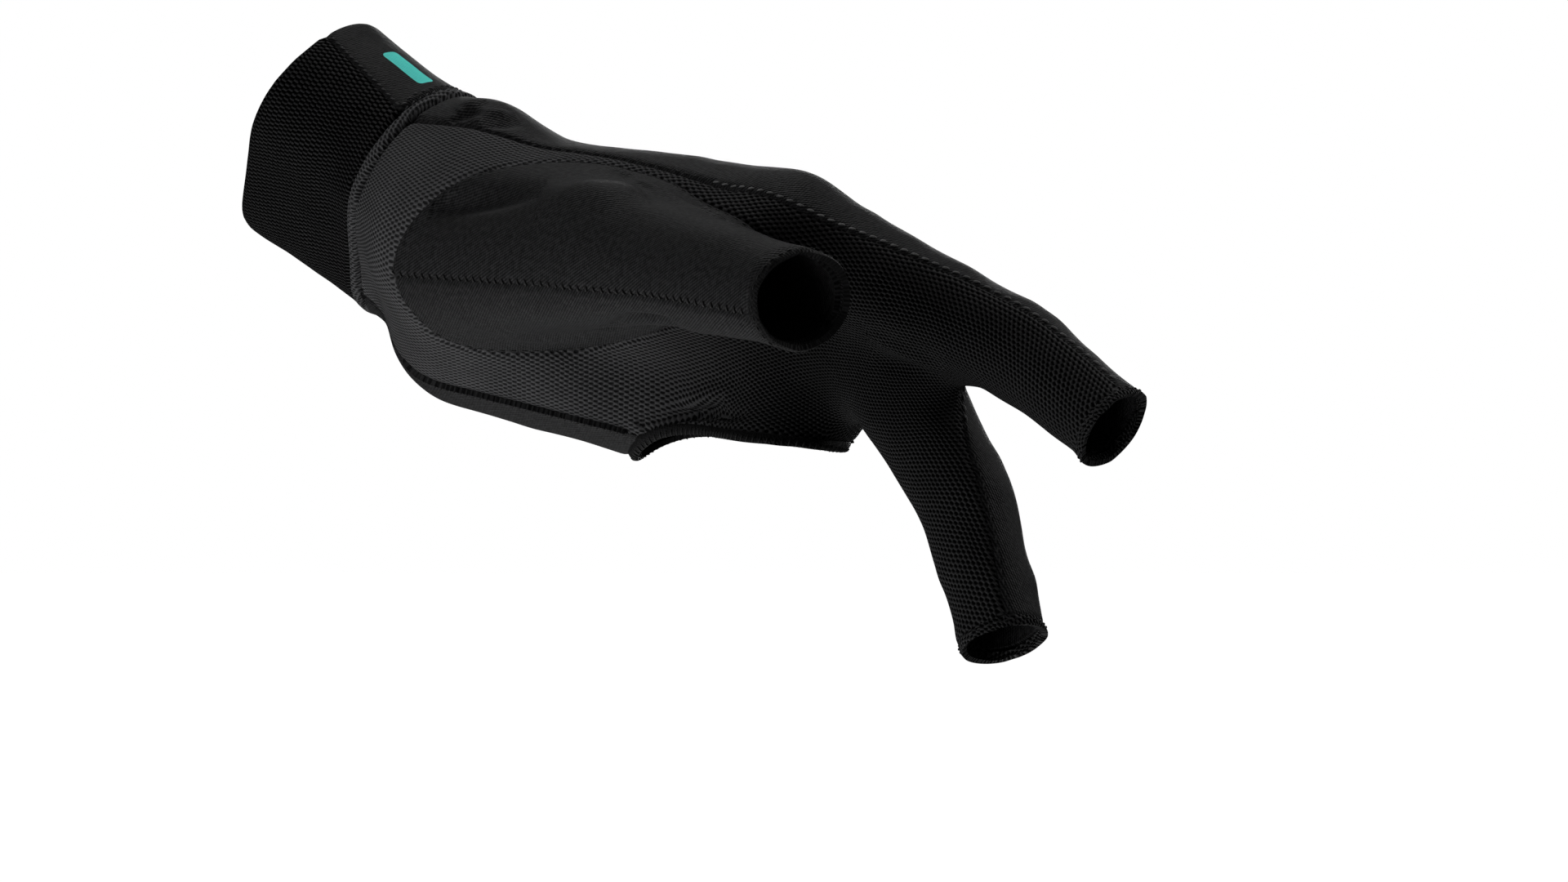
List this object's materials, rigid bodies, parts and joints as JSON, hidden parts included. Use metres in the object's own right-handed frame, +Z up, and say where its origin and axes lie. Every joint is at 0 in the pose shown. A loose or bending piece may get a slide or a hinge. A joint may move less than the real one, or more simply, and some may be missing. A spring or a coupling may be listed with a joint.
{
  "type": "billiard glove",
  "caption": "Left-hand cue glove in its worn form: short open thumb, index and middle sleeves, and one shared opening for the other fingers.",
  "frame": {"origin": "centre of the cuff's open mouth, where the wrist goes in", "axes": "+X runs from the cuff to the fingertips' side, +Z is up, and the palm is turned down and towards -Y"},
  "size_m": [0.1737, 0.1338, 0.1226],
  "materials": {
    "mesh_knit": "matt black open mesh knit",
    "smooth_knit": "black stretch knit with a soft sheen",
    "edge_trim": "black turned hem"
  },
  "bodies": {
    "root": {"cuff_palm": "mesh_knit", "cuff_back": "smooth_knit", "wrist_welt": "edge_trim", "palm_panel": "mesh_knit", "back_panel": "smooth_knit", "thumb_top": "smooth_knit", "thumb_under": "smooth_knit", "thumb_hem": "edge_trim", "index_hem": "edge_trim", "middle_hem": "edge_trim", "palm_hem": "edge_trim"}
  },
  "joints": []
}
